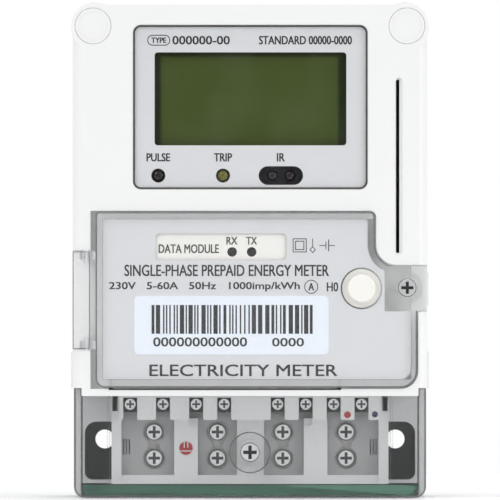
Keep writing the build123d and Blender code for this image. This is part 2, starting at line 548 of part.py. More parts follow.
with BuildPart() as metering_chip:
    block(-26, -14, MAIN_BOARD_H + BOARD_T, MAIN_BOARD_H + BOARD_T + 1.6, 100, 112)
    block(4, 18, MAIN_BOARD_H + BOARD_T, MAIN_BOARD_H + BOARD_T + 1.6, 100, 114)
write(metering_chip, "metering_chips")

with BuildPart() as power_transformer:
    block(8, 42, 12, MAIN_BOARD_H, 62, 92)
    block(12, 38, 8, MAIN_BOARD_H - 2, 66, 88)
    chamfer(power_transformer.edges().filter_by(Axis.Y), 0.6)
write(power_transformer, "power_transformer")

with BuildPart() as supply_capacitors:
    for cap_x, cap_z, cap_r, cap_len in ((-12, 76, 5, 20), (-26, 76, 5, 20), (-38, 90, 4, 14)):
        boss(cap_x, cap_z, MAIN_BOARD_H - cap_len, MAIN_BOARD_H, cap_r)
    fillet(supply_capacitors.edges().group_by(Axis.Y)[-1], 0.8)
write(supply_capacitors, "supply_capacitors")

with BuildPart() as latching_relay:
    block(-38, -2, 10, MAIN_BOARD_H - 1, 30, 60)
    fillet(latching_relay.edges().filter_by(Axis.Y), 1.0)
write(latching_relay, "latching_relay")

with BuildPart() as clock_battery:
    upright(-42, 24, 96, 121, 7.0)
    upright(-42, 24, 121, 122.2, 2.5)
write(clock_battery, "clock_battery")

# ---------------------------------------------------------------- card reader behind the slot
with BuildPart() as card_reader:
    block(43.4, 43.4 + READER_W, READER_BACK, FACE - PLATE - 0.1, 58.3, 115.6)
    block(
        THROAT_X - CARD_PATH_W / 2, THROAT_X + CARD_PATH_W / 2, CARD_STOP, FACE,
        SLOT_Z - THROAT_H / 2 - 0.2, SLOT_Z + THROAT_H / 2 + 0.2, Mode.SUBTRACT,
    )
    block(THROAT_X, THROAT_X + CARD_PATH_W / 2 + 0.9, 46.0, 60.0, SLOT_Z - 7, SLOT_Z + 7, Mode.SUBTRACT)
write(card_reader, "card_reader")

with BuildPart() as card_contacts:
    for row in range(CONTACT_COUNT):
        contact_z = SLOT_Z + CONTACT_PITCH * (row - (CONTACT_COUNT - 1) / 2)
        contact_x = THROAT_X + CARD_PATH_W / 2
        block(contact_x, contact_x + 0.9, 47.0, 59.0, contact_z - 0.4, contact_z + 0.4)
write(card_contacts, "card_contacts")

# ---------------------------------------------------------------- communication module
with BuildPart() as communication_module:
    block(MODULE_LEFT, MODULE_RIGHT, BAY_FLOOR + 0.3, MODULE_FRONT, MODULE_BOTTOM, MODULE_TOP)
    chamfer(communication_module.edges().filter_by(Axis.Y), 0.4)
    chamfer(communication_module.edges().group_by(Axis.Y)[0], 0.3)
    with Locations(*[(x, -MODULE_FRONT, RXTX_Z) for x in (RX_X, TX_X)]):
        Cylinder(1.5, 4.0, rotation=(90, 0, 0), mode=Mode.SUBTRACT)
    block(-18, 2, BAY_FLOOR, BAY_FLOOR + 6.3, 59, 63, Mode.SUBTRACT)
    # lower front edge steps back under the flip cover's wall
    block(MODULE_LEFT - 1, MODULE_RIGHT + 1, RECESS_FLOOR - 0.1, MODULE_FRONT + 1, 16, 19.8, Mode.SUBTRACT)
    # finger grips at both ends
    for side_x in (MODULE_LEFT, MODULE_RIGHT):
        for step in range(4):
            block(side_x - 0.5, side_x + 0.5, 58 + 2 * step, 59 + 2 * step, 30, 50, Mode.SUBTRACT)
write(communication_module, "communication_module")

with BuildPart() as module_connector:
    block(-16, 0, MAIN_BOARD_H + BOARD_T, BAY_FLOOR + 5.5, 60, 62)
write(module_connector, "module_connector")

with BuildPart() as module_label:
    with BuildSketch(wall_plane(MODULE_FRONT)):
        rect(LABEL_LEFT - 1, LABEL_RIGHT + 1, LABEL_BOTTOM - 1, LABEL_TOP + 1)
        with Locations((RX_X, RXTX_Z), (TX_X, RXTX_Z)):
            Circle(1.5, mode=Mode.SUBTRACT)
    extrude(amount=0.3)
write(module_label, "module_label")

with BuildPart() as module_lamps:
    for lamp_x in (RX_X, TX_X):
        boss(lamp_x, RXTX_Z, MODULE_FRONT - 2.0, MODULE_FRONT - 0.6, 1.5)
write(module_lamps, "module_lamps")

# ---------------------------------------------------------------- display button and its switch
with BuildPart() as display_button:
    boss(BUTTON_X, BUTTON_Z, BUTTON_END, BUTTON_SHOULDER, BUTTON_STEM_R)
    boss(BUTTON_X, BUTTON_Z, BUTTON_SHOULDER - 1.2, BUTTON_SHOULDER, BUTTON_RING_R)
    boss(BUTTON_X, BUTTON_Z, BUTTON_SHOULDER - 0.2, BUTTON_TOP, BUTTON_CAP_R)
    fillet(display_button.edges().group_by(Axis.Y)[0], 0.7)
write(display_button, "display_button")

with BuildPart() as tact_switch:
    block(BUTTON_X - 3, BUTTON_X + 3, DISPLAY_BOARD_H + BOARD_T, 59.3, BUTTON_Z - 3, BUTTON_Z + 3)
    boss(BUTTON_X, BUTTON_Z, 59.2, 60.3, 1.75)
write(tact_switch, "tact_switch")

# ---------------------------------------------------------------- flip cover
with BuildPart() as flip_cover:
    with BuildSketch(wall_plane(COVER_BACK)):
        add(cover_outline.sketch)
        rect(EAR_LEFT, 60, EAR_BOTTOM, EAR_TOP, Mode.SUBTRACT)
    extrude(amount=COVER_FACE - COVER_BACK)
    front_rim = flip_cover.edges().group_by(Axis.Y)[0]
    chamfer(front_rim.filter_by(lambda e: e.center().X < EAR_LEFT - 1 or e.center().Z < EAR_BOTTOM - 0.5), 0.5)
    with BuildSketch(wall_plane(COVER_BACK)):
        add(plate_outline.sketch)
    extrude(amount=COVER_INNER - COVER_BACK, mode=Mode.SUBTRACT)
    # latch ear: a block with a round well for the screw
    with BuildSketch(wall_plane(EAR_BACK)):
        rect(EAR_LEFT, SKIRT_HALF, EAR_BOTTOM, EAR_TOP)
    extrude(amount=EAR_FACE - EAR_BACK)
    ear_edges = flip_cover.edges().filter_by(Axis.Y).filter_by(lambda e: e.center().X > SKIRT_HALF - 0.1)
    fillet(ear_edges, EAR_R)
    boss(LATCH_X, LATCH_Z, LATCH_WELL_FLOOR, EAR_FACE + 5, LATCH_WELL_R, Mode.SUBTRACT)
    boss(LATCH_X, LATCH_Z, EAR_BACK - 2, EAR_FACE, INSERT_BORE, Mode.SUBTRACT)
    # hole for the display button
    boss(BUTTON_X, BUTTON_Z, COVER_INNER - 1, COVER_FACE + 1, BUTTON_CAP_R + 0.4, Mode.SUBTRACT)
    # hinge wing, knuckles and arms
    block(-CASE_HALF, -50.0, 67.6, WING_FACE, WING_BOTTOM, WING_TOP)
    wing_front = flip_cover.edges().filter_by(lambda e: abs(e.center().Y + WING_FACE) < 0.01)
    chamfer(wing_front.filter_by(lambda e: e.center().X < -49.9), 0.35)
    for z0, z1 in ((WING_TOP - KNUCKLE_H, WING_TOP), (WING_BOTTOM, WING_BOTTOM + KNUCKLE_H)):
        upright(HINGE_X, HINGE_H, z0, z1, KNUCKLE_R)
        block(HINGE_X, COVER_LEFT + 1.5, 66.5, 69.6, z0, z1)
        upright(HINGE_X, HINGE_H, z0 - 1, z1 + 1, KNUCKLE_BORE, Mode.SUBTRACT)
write(flip_cover, "flip_cover")

with BuildPart() as nameplate:
    with BuildSketch(wall_plane(67.8)):
        add(offset(plate_outline.sketch, amount=-0.1, kind=Kind.INTERSECTION, mode=Mode.PRIVATE))
        with Locations(((LABEL_LEFT + LABEL_RIGHT) / 2, (LABEL_BOTTOM + LABEL_TOP) / 2)):
            RectangleRounded(LABEL_RIGHT - LABEL_LEFT, LABEL_TOP - LABEL_BOTTOM, 1.5, mode=Mode.SUBTRACT)
        with Locations((BUTTON_X, BUTTON_Z)):
            Circle(6.5, mode=Mode.SUBTRACT)
    extrude(amount=0.4)
write(nameplate, "nameplate")

with BuildPart() as serial_label:
    with BuildSketch(wall_plane(68.2)):
        with Locations((-5.8, 36.4)):
            RectangleRounded(60.8, 18.4, 1.5)
    extrude(amount=0.12)
write(serial_label, "serial_label")

with BuildPart() as hinge_pins:
    upright(HINGE_X, HINGE_H, WING_TOP - KNUCKLE_H + 0.2, WING_TOP + PIN_REACH, PIN_R)
    upright(HINGE_X, HINGE_H, WING_BOTTOM - PIN_REACH, WING_BOTTOM + KNUCKLE_H - 0.2, PIN_R)
write(hinge_pins, "hinge_pins")

# the shank's end tapers, so that it leaves its insert freely while the cover swings
with BuildPart() as latch_screw:
    boss(LATCH_X, LATCH_Z, LATCH_TAPER, LATCH_WELL_FLOOR + 0.1, LATCH_SHANK_R)
    with BuildSketch(wall_plane(LATCH_TIP)):
        with Locations((LATCH_X, LATCH_Z)):
            Circle(LATCH_TIP_R)
    with BuildSketch(wall_plane(LATCH_TAPER)):
        with Locations((LATCH_X, LATCH_Z)):
            Circle(LATCH_SHANK_R)
    loft()
    boss(LATCH_X, LATCH_Z, LATCH_WELL_FLOOR, LATCH_HEAD_TOP, LATCH_HEAD_R)
    chamfer(latch_screw.edges().group_by(Axis.Y)[0], 0.3)
    cross_recess(LATCH_X, LATCH_Z, LATCH_HEAD_TOP, 1.9, 1.3)
    # hole for the seal wire
    with Locations((LATCH_X, -67.2, LATCH_Z)):
        Cylinder(0.6, 10, rotation=(0, 90, 0), mode=Mode.SUBTRACT)
write(latch_screw, "latch_screw")

with BuildPart() as latch_insert:
    boss(LATCH_X, LATCH_Z, 52.0, POCKET_FLOOR - 0.1, INSERT_R)
    boss(LATCH_X, LATCH_Z, 53.0, 62.0, INSERT_BORE, Mode.SUBTRACT)
write(latch_insert, "latch_insert")

# ---------------------------------------------------------------- terminal block
with BuildPart() as terminal_block:
    block(-BLOCK_HALF + 2.3, BLOCK_HALF - 2.3, BLOCK_BACK, WELL_RIM + 0.3, BLOCK_BOTTOM, BLOCK_TOP)
    block(-BLOCK_HALF, BLOCK_HALF, WELL_RIM + 0.3, BLOCK_FLOOR, BLOCK_BOTTOM, BLOCK_TOP)
    block(-52.8, 52.8, WELL_RIM + 0.3, WELL_RIM + 2.3, BLOCK_BOTTOM, BLOCK_TOP - 0.2)
    # side walls, bottom strip, ribs between the wells, and the upper deck
    for side in (-1, 1):
        x_in, x_out = side * 40.4, side * BLOCK_HALF
        block(min(x_in, x_out), max(x_in, x_out), BLOCK_FLOOR, RIB_FRONT + 1, BLOCK_BOTTOM, BLOCK_TOP)
    block(-40.5, 40.5, BLOCK_FLOOR, RIB_FRONT, BLOCK_BOTTOM, -10.8)
    for x0, x1 in ((-23.8, -16.4), (-4.1, 4.4), (16.9, 24.3)):
        block(x0, x1, BLOCK_FLOOR, RIB_FRONT, -11, 7)
    block(-41, 41, BLOCK_FLOOR, DECK_FRONT, DECK_BOTTOM + 2.4, BLOCK_TOP)
    # tabs of the deck between the small terminals, with rounded lower corners
    edges_x = (-41.0,) + AUX_X + (41.0,)
    with BuildSketch(wall_plane(BLOCK_FLOOR)):
        for left, right in zip(edges_x[:-1], edges_x[1:]):
            x0 = left + (AUX_HALF if left in AUX_X else 0)
            x1 = right - (AUX_HALF if right in AUX_X else 0)
            with Locations(((x0 + x1) / 2, DECK_BOTTOM + 1.7)):
                RectangleRounded(x1 - x0, 3.4, 0.55)
    extrude(amount=DECK_FRONT - BLOCK_FLOOR)
    # pockets of the small terminals
    for aux_x in AUX_X:
        block(aux_x - AUX_HALF, aux_x + AUX_HALF, 43.0, DECK_FRONT + 1, 8.9, 13.6, Mode.SUBTRACT)
        block(aux_x - AUX_HALF + 0.4, aux_x + AUX_HALF - 0.4, 46.5, DECK_FRONT - 1, 5, 9, Mode.SUBTRACT)
    # main terminals: a bay open at the top, a wire entry below, and two linked screw holes in front
    for main_x in MAIN_X:
        block(
            main_x - TERMINAL_HALF, main_x + TERMINAL_HALF, TERMINAL_BACK, TERMINAL_FRONT,
            TERMINAL_BOTTOM, BLOCK_TOP + 1, Mode.SUBTRACT,
        )
        upright(main_x, WIRE_H, BLOCK_BOTTOM - 1, -12, WIRE_R + 0.4, Mode.SUBTRACT)
        for screw_z in MAIN_SCREW_Z:
            boss(main_x, screw_z, TERMINAL_FRONT - 1, BLOCK_FLOOR + 1, MAIN_SCREW_R + 0.7, Mode.SUBTRACT)
        upper_z, lower_z = MAIN_SCREW_Z
        block(main_x - 1.7, main_x + 1.7, TERMINAL_FRONT - 1, BLOCK_FLOOR + 1, lower_z, upper_z, Mode.SUBTRACT)
    # slots for the terminal cover's hooks
    for side in (-1, 1):
        block(side * HOOK_X - 0.85, side * HOOK_X + 0.85, 38.0, 60, 9.3, BLOCK_TOP + 1, Mode.SUBTRACT)
    # small louvres beside the outer wells
    for side in (-1, 1):
        for step in range(3):
            louvre_x = side * (37.9 + 0.9 * step)
            block(louvre_x - 0.22, louvre_x + 0.22, BLOCK_FLOOR - 2, BLOCK_FLOOR, -4.4, 0.5, Mode.SUBTRACT)
    # seat of the sealing screw's insert
    boss(SEAL_X, SEAL_Z, 40.0, SEAL_SEAT, INSERT_R + 1.3)
    boss(SEAL_X, SEAL_Z, 40.0, SEAL_SEAT + 1, INSERT_R, Mode.SUBTRACT)
    # openings over the fixing wells
    with BuildSketch(wall_plane(WELL_RIM)):
        add(well_outline.sketch)
        add(mirror(well_outline.sketch, Plane.YZ, mode=Mode.PRIVATE))
    extrude(amount=3, mode=Mode.SUBTRACT)
write(terminal_block, "terminal_block")

# ---------------------------------------------------------------- terminals and their screws
MAIN_NAMES = ("line_in_terminal", "line_out_terminal", "neutral_in_terminal", "neutral_out_terminal")
for terminal_name, main_x in zip(MAIN_NAMES, MAIN_X):
    with BuildPart() as terminal:
        block(
            main_x - TERMINAL_HALF, main_x + TERMINAL_HALF, TERMINAL_BACK, TERMINAL_FRONT,
            TERMINAL_BOTTOM, TERMINAL_TOP,
        )
        chamfer(terminal.edges().filter_by(Axis.Z), 0.5)
        upright(main_x, WIRE_H, -13, 9.0, WIRE_R, Mode.SUBTRACT)
        for screw_z in MAIN_SCREW_Z:
            boss(main_x, screw_z, WIRE_H, TERMINAL_FRONT + 1, TERMINAL_SCREW_R, Mode.SUBTRACT)
        block(main_x - TAIL_HALF, main_x + TAIL_HALF, 31.0, 32.6, TERMINAL_TOP - 1, 26.0)
    write(terminal, terminal_name)

with BuildPart() as main_terminal_screws:
    for main_x in MAIN_X:
        for screw_z in MAIN_SCREW_Z:
            boss(main_x, screw_z, 39.9, 42.6, TERMINAL_SCREW_R)
            boss(main_x, screw_z, 42.5, MAIN_HEAD_TOP, MAIN_SCREW_R)
    chamfer(main_terminal_screws.edges().group_by(Axis.Y)[0], 0.35)
    for main_x in MAIN_X:
        for screw_z in MAIN_SCREW_Z:
            cross_recess(main_x, screw_z, MAIN_HEAD_TOP, 1.8, 1.4)
write(main_terminal_screws, "main_terminal_screws")

with BuildPart() as aux_terminals:
    for aux_x in AUX_X:
        block(aux_x - AUX_HALF + 0.2, aux_x + AUX_HALF - 0.2, 43.2, AUX_FRONT, 9.0, 13.5)
        boss(aux_x, AUX_Z, AUX_FRONT - 0.3, AUX_FRONT + 1, 1.1, Mode.SUBTRACT)
        upright(aux_x, AUX_WIRE_H, 8, 13.0, AUX_WIRE_R, Mode.SUBTRACT)
write(aux_terminals, "aux_terminals")

with BuildPart() as aux_terminal_screws:
    for aux_x in AUX_X:
        boss(aux_x, AUX_Z, AUX_FRONT - 0.3, AUX_FRONT + 0.1, 1.1)
        boss(aux_x, AUX_Z, AUX_FRONT, AUX_HEAD_TOP, 1.85)
    chamfer(aux_terminal_screws.edges().group_by(Axis.Y)[0], 0.25)
    for aux_x in AUX_X:
        cross_recess(aux_x, AUX_Z, AUX_HEAD_TOP, 1.2, 0.9)
write(aux_terminal_screws, "aux_terminal_screws")

with BuildPart() as terminal_marks:
    boss(-20.1, -2.35, RIB_FRONT, RIB_FRONT + 0.2, 2.1)
    boss(30.6, 8.2, DECK_FRONT, DECK_FRONT + 0.3, 1.05)
    boss(39.2, 8.3, DECK_FRONT, DECK_FRONT + 0.3, 0.95)
write(terminal_marks, "terminal_marks")

with BuildPart() as current_shunt:
    block(MAIN_X[0] - TAIL_HALF, MAIN_X[1] + TAIL_HALF, 29.4, 31.0, 22.0, 29.0)
write(current_shunt, "current_shunt")

# fixed behind the terminal cover's front, along its lower edge
with BuildPart() as wire_seal:
    block(-STRIP_HALF, STRIP_HALF, TC_FACE - 4, TC_FACE - 2, STRIP_BOTTOM, STRIP_TOP)
    fillet(wire_seal.edges().filter_by(Axis.Y).group_by(Axis.Z)[0], BOTTOM_R_IN - 0.4)
write(wire_seal, "wire_entry_seal")

with BuildPart() as seal_insert:
    boss(SEAL_X, SEAL_Z, 40.0, SEAL_SEAT - 0.1, INSERT_R)
    boss(SEAL_X, SEAL_Z, 41.0, 52, INSERT_BORE, Mode.SUBTRACT)
write(seal_insert, "seal_insert")

# ---------------------------------------------------------------- terminal cover and its sealing screw
with BuildPart() as terminal_cover:
    with BuildSketch(wall_plane(TC_RIM)):
        rect(-TC_OUT, TC_OUT, CASE_BOTTOM, TC_SHOULDER)
        fillet(vertices().group_by(Axis.Y)[0], BOTTOM_R)
    extrude(amount=TC_FACE - TC_RIM)
    fillet(terminal_cover.edges().group_by(Axis.Y)[0].filter_by(lambda e: e.center().Z < TC_SHOULDER - 1), 1.2)
    with BuildSketch(wall_plane(TC_RIM)):
        rect(-TC_IN, TC_IN, CASE_BOTTOM + 0.8, 30)
        fillet(vertices().group_by(Axis.Y)[0], BOTTOM_R_IN)
    extrude(amount=TC_FACE - TC_RIM - 2, mode=Mode.SUBTRACT)
    block(-TC_IN, TC_IN, TC_RIM, TC_FACE + 1, HOUSING_BOTTOM - 0.3, 20, Mode.SUBTRACT)
    # way out for the wires
    block(-42, 42, 29.5, 60, CASE_BOTTOM - 1, CASE_BOTTOM + 1.5, Mode.SUBTRACT)
    # tubular well for the sealing screw
    boss(SEAL_X, SEAL_Z, 52.0, TC_FACE - 1, SEAL_WELL_OUT)
    boss(SEAL_X, SEAL_Z, SEAL_WELL_FLOOR, TC_FACE + 1, SEAL_WELL_IN, Mode.SUBTRACT)
    well_mouth = terminal_cover.edges().filter_by(GeomType.CIRCLE).filter_by(
        lambda e: abs(e.center().Y + TC_FACE) < 0.01 and abs(e.radius - SEAL_WELL_IN) < 0.01
    )
    chamfer(well_mouth, 0.45)
    boss(SEAL_X, SEAL_Z, 50, SEAL_WELL_FLOOR + 1, INSERT_BORE, Mode.SUBTRACT)
    # inner ribs beside the block, stiffeners under the well, and the hooks
    for side in (-1, 1):
        block(
            side * SIDE_RIB_X - 0.35, side * SIDE_RIB_X + 0.35, 29.5, TC_FACE - 1.5,
            STRIP_TOP + 0.4, HOUSING_BOTTOM - 0.4,
        )
        block(side * 5.9 - 0.3, side * 5.9 + 0.3, 60.0, TC_FACE - 1.5, STRIP_TOP + 0.2, -8.0)
        block(side * HOOK_X - 0.5, side * HOOK_X + 0.5, 40.0, TC_FACE - 1.5, 9.7, 13.6)
write(terminal_cover, "terminal_cover")

with BuildPart() as sealing_screw:
    boss(SEAL_X, SEAL_Z, 45.0, SEAL_WELL_FLOOR + 0.1, LATCH_SHANK_R)
    boss(SEAL_X, SEAL_Z, SEAL_WELL_FLOOR, SEAL_HEAD_TOP, SEAL_HEAD_R)
    chamfer(sealing_screw.edges().group_by(Axis.Y)[0], 0.3)
    cross_recess(SEAL_X, SEAL_Z, SEAL_HEAD_TOP, 2.1, 1.6)
    # hole for the seal wire
    with Locations((SEAL_X, -56.5, SEAL_Z)):
        Cylinder(0.7, 10, rotation=(0, 90, 0), mode=Mode.SUBTRACT)
write(sealing_screw, "sealing_screw")
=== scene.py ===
"""Looks of the single-phase prepaid meter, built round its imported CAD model.

Metres, in the CAD model's own frame: the wall plane is y = 0, the front faces -y, and z is up.
Sizes of prints are given in millimetres and turned into metres where they are used.
"""

import json
import math
import random

import bmesh
import bpy
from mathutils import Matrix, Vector


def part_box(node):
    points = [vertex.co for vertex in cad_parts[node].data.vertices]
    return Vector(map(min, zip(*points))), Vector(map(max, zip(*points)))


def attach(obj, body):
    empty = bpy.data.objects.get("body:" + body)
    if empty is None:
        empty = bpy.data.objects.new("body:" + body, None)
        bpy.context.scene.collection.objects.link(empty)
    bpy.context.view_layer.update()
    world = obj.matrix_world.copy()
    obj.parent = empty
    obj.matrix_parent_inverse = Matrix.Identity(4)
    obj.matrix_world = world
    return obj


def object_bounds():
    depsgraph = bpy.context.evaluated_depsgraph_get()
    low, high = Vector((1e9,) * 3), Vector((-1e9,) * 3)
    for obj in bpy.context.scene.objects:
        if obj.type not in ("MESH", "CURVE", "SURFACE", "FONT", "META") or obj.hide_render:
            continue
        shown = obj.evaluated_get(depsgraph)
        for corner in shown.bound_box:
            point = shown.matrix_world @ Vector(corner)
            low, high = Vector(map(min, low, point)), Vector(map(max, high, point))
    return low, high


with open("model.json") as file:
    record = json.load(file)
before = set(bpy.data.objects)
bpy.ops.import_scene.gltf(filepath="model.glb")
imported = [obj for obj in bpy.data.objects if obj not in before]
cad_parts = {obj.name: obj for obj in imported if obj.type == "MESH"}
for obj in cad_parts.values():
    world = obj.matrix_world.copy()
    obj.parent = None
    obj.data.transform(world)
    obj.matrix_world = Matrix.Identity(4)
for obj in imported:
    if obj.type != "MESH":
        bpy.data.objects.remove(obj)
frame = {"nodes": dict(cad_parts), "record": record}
cad_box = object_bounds()

MM = 0.001
PRINT = 0.03 * MM  # thickness of printed ink
OVERPRINT = 0.003 * MM  # between the layers of overprinted ink
SLOT_OF = {part["node"]: part["material_slot"] for part in frame["record"]["subparts"]}


# ---------------------------------------------------------------- node graphs
class Graph:
    """A material's nodes, with short calls for the ones used here."""

    def __init__(self, name):
        self.material = bpy.data.materials.new(name)
        self.material.use_nodes = True
        self.tree = self.material.node_tree
        self.tree.nodes.clear()
        self.output = self.node("ShaderNodeOutputMaterial")
        self.place = self.node("ShaderNodeTexCoord").outputs["Object"]

    def node(self, kind, **settings):
        made = self.tree.nodes.new(kind)
        for key, value in settings.items():
            setattr(made, key, value)
        return made

    def feed(self, socket, value):
        if isinstance(value, bpy.types.NodeSocket):
            self.tree.links.new(value, socket)
        else:
            socket.default_value = value

    def math(self, operation, first, second=0.0, third=None):
        made = self.node("ShaderNodeMath", operation=operation)
        self.feed(made.inputs[0], first)
        self.feed(made.inputs[1], second)
        if third is not None:
            self.feed(made.inputs[2], third)
        return made.outputs[0]

    def between(self, value, low, high):
        """1 where the value lies between low and high, and 0 elsewhere."""
        above = self.math("GREATER_THAN", value, low)
        below = self.math("LESS_THAN", value, high)
        return self.math("MULTIPLY", above, below)

    def distance(self, value, centre):
        """How far the value is from the centre, on either side."""
        return self.math("ABSOLUTE", self.math("SUBTRACT", value, centre))

    def noise(self, size, detail=3.0, roughness=0.5, stretch=(1, 1, 1)):
        """Noise from 0 to 1 with features of about that size, in metres."""
        mapping = self.node("ShaderNodeMapping")
        self.feed(mapping.inputs["Vector"], self.place)
        mapping.inputs["Scale"].default_value = stretch
        made = self.node("ShaderNodeTexNoise")
        self.feed(made.inputs["Vector"], mapping.outputs["Vector"])
        made.inputs["Scale"].default_value = 1.0 / size
        made.inputs["Detail"].default_value = detail
        made.inputs["Roughness"].default_value = roughness
        return made.outputs["Fac"]

    def spread(self, value, low, high, start=0.0, end=1.0):
        """value from start..end turned into low..high."""
        made = self.node("ShaderNodeMapRange")
        self.feed(made.inputs["Value"], value)
        made.inputs["From Min"].default_value = start
        made.inputs["From Max"].default_value = end
        made.inputs["To Min"].default_value = low
        made.inputs["To Max"].default_value = high
        return made.outputs["Result"]

    def mix(self, share, first, second):
        made = self.node("ShaderNodeMix", data_type="RGBA")
        self.feed(made.inputs["Factor"], share)
        self.feed(made.inputs["A"], first)
        self.feed(made.inputs["B"], second)
        return made.outputs["Result"]

    def bump(self, height, depth):
        """Normal for a relief of that depth in metres."""
        made = self.node("ShaderNodeBump")
        made.inputs["Strength"].default_value = 1.0
        made.inputs["Distance"].default_value = depth
        self.feed(made.inputs["Height"], height)
        return made.outputs["Normal"]

    def parts(self):
        """x, y and z of the place on the object, in metres."""
        split = self.node("ShaderNodeSeparateXYZ")
        self.feed(split.inputs[0], self.place)
        return split.outputs

    def principled(self, colour, roughness, normal=None, **fixed):
        made = self.node("ShaderNodeBsdfPrincipled")
        self.feed(made.inputs["Base Color"], colour)
        self.feed(made.inputs["Roughness"], roughness)
        if normal is not None:
            self.feed(made.inputs["Normal"], normal)
        for key, value in fixed.items():
            made.inputs[key.replace("_", " ")].default_value = value
        return made.outputs["BSDF"]

    def finish(self, shader):
        self.tree.links.new(shader, self.output.inputs["Surface"])
        return self.material


def tone(colour, factor):
    return tuple(min(1.0, channel * factor) for channel in colour[:3]) + (1.0,)


def clouded(graph, colour, size, amount):
    """The colour with soft lighter and darker clouds of that size."""
    return graph.mix(graph.noise(size), tone(colour, 1 - amount), tone(colour, 1 + amount))


# ---------------------------------------------------------------- materials
GRAIN = 0.35 * MM  # size of the spark-eroded grain on moulded plastic
GRAIN_DEPTH = 0.006 * MM
CLOUD_SIZE = 16 * MM
# painted shade in the screw heads' recesses
RECESS_SHADE = (0.09, 0.09, 0.09, 1)  # in the screw heads' recesses

# clear plastic
EDGE_POWER = 3.5  # how suddenly it turns milky as a face turns away
# share of painted shade on the clear plastic's chamfers
CHAMFER_SHARE = 0.75
# painted light: the share of light milky plastic that stands for the light carried along a cover's
# wall
WALL_SHARE = 0.36  # of milky plastic, where a cover's wall is seen end on
SIDE_WALL = (52.9 * MM, 53.2 * MM)  # |x| where the terminal cover's side walls begin
COVER_TOP = (16.5 * MM, 16.7 * MM)  # z where the flip cover takes over from the terminal cover
PLATE_CENTRE, PLATE_HALF = (2.15 * MM, 44.5 * MM), (48.25 * MM, 25.1 * MM)  # nameplate, x and z
WINDOW = (0.994, 0.996, 0.996, 1.0)

# the terminal block's wells, as y where their floor begins and ends, and how dark the painted shade on
# that floor is
WELL_FRONT = (-46.2 * MM, -44.3 * MM)
WELL_BACK = (-38.0 * MM, -34.0 * MM)
WELL_SHADE = 0.58

# the marks between the terminals
NAVY_FROM = 35 * MM  # x beyond which a mark is navy
EARTH_X = -20.1 * MM
EARTH_STEM = (0.38 * MM, 0.72 * MM)  # |x| from the middle
EARTH_STEM_LOW = -2.2 * MM
EARTH_BAR_Z, EARTH_BAR_HALF = -3.25 * MM, 0.17 * MM


def plastic_finish(graph, shade, roughness, grain, depth, **fixed):
    """Spark-eroded grain and uneven gloss over a shade."""
    relief = graph.noise(grain, detail=4.0, roughness=0.6)
    gloss = graph.spread(graph.noise(9 * MM, detail=5.0), roughness * 0.86, roughness * 1.16)
    return graph.finish(graph.principled(shade, gloss, graph.bump(relief, depth), **fixed))


def moulded(name, colour, roughness, grain=GRAIN, depth=GRAIN_DEPTH, clouds=0.02, **fixed):
    """Moulded plastic: fine spark-eroded grain, soft clouds and uneven gloss."""
    graph = Graph(name)
    shade = clouded(graph, colour, CLOUD_SIZE, clouds)
    return plastic_finish(graph, shade, roughness, grain, depth, **fixed)


def metal(name, colour, roughness, scratch=0.25 * MM, depth=0.006 * MM, recesses=()):
    """Plated or machined metal with fine turning marks and uneven dulling.

    recesses are bands of y, in millimetres, where the drivers' recesses get painted shade.
    """
    graph = Graph(name)
    marks = graph.noise(scratch, detail=5.0, roughness=0.7, stretch=(1, 1, 7))
    gloss = graph.spread(graph.noise(0.9 * MM, detail=4.0), roughness * 0.7, roughness * 1.4)
    shade = clouded(graph, colour, 1.6 * MM, 0.12)
    if recesses:
        _, y, _ = graph.parts()
        recess_shaded = 0.0
        for front, back in recesses:
            recess_shaded = graph.math("MAXIMUM", graph.between(y, front * MM, back * MM), recess_shaded)
        # painted shade on the floors of the drivers' recesses
        shade = graph.mix(recess_shaded, shade, RECESS_SHADE)
    return graph.finish(graph.principled(shade, gloss, graph.bump(marks, depth), Metallic=1.0))


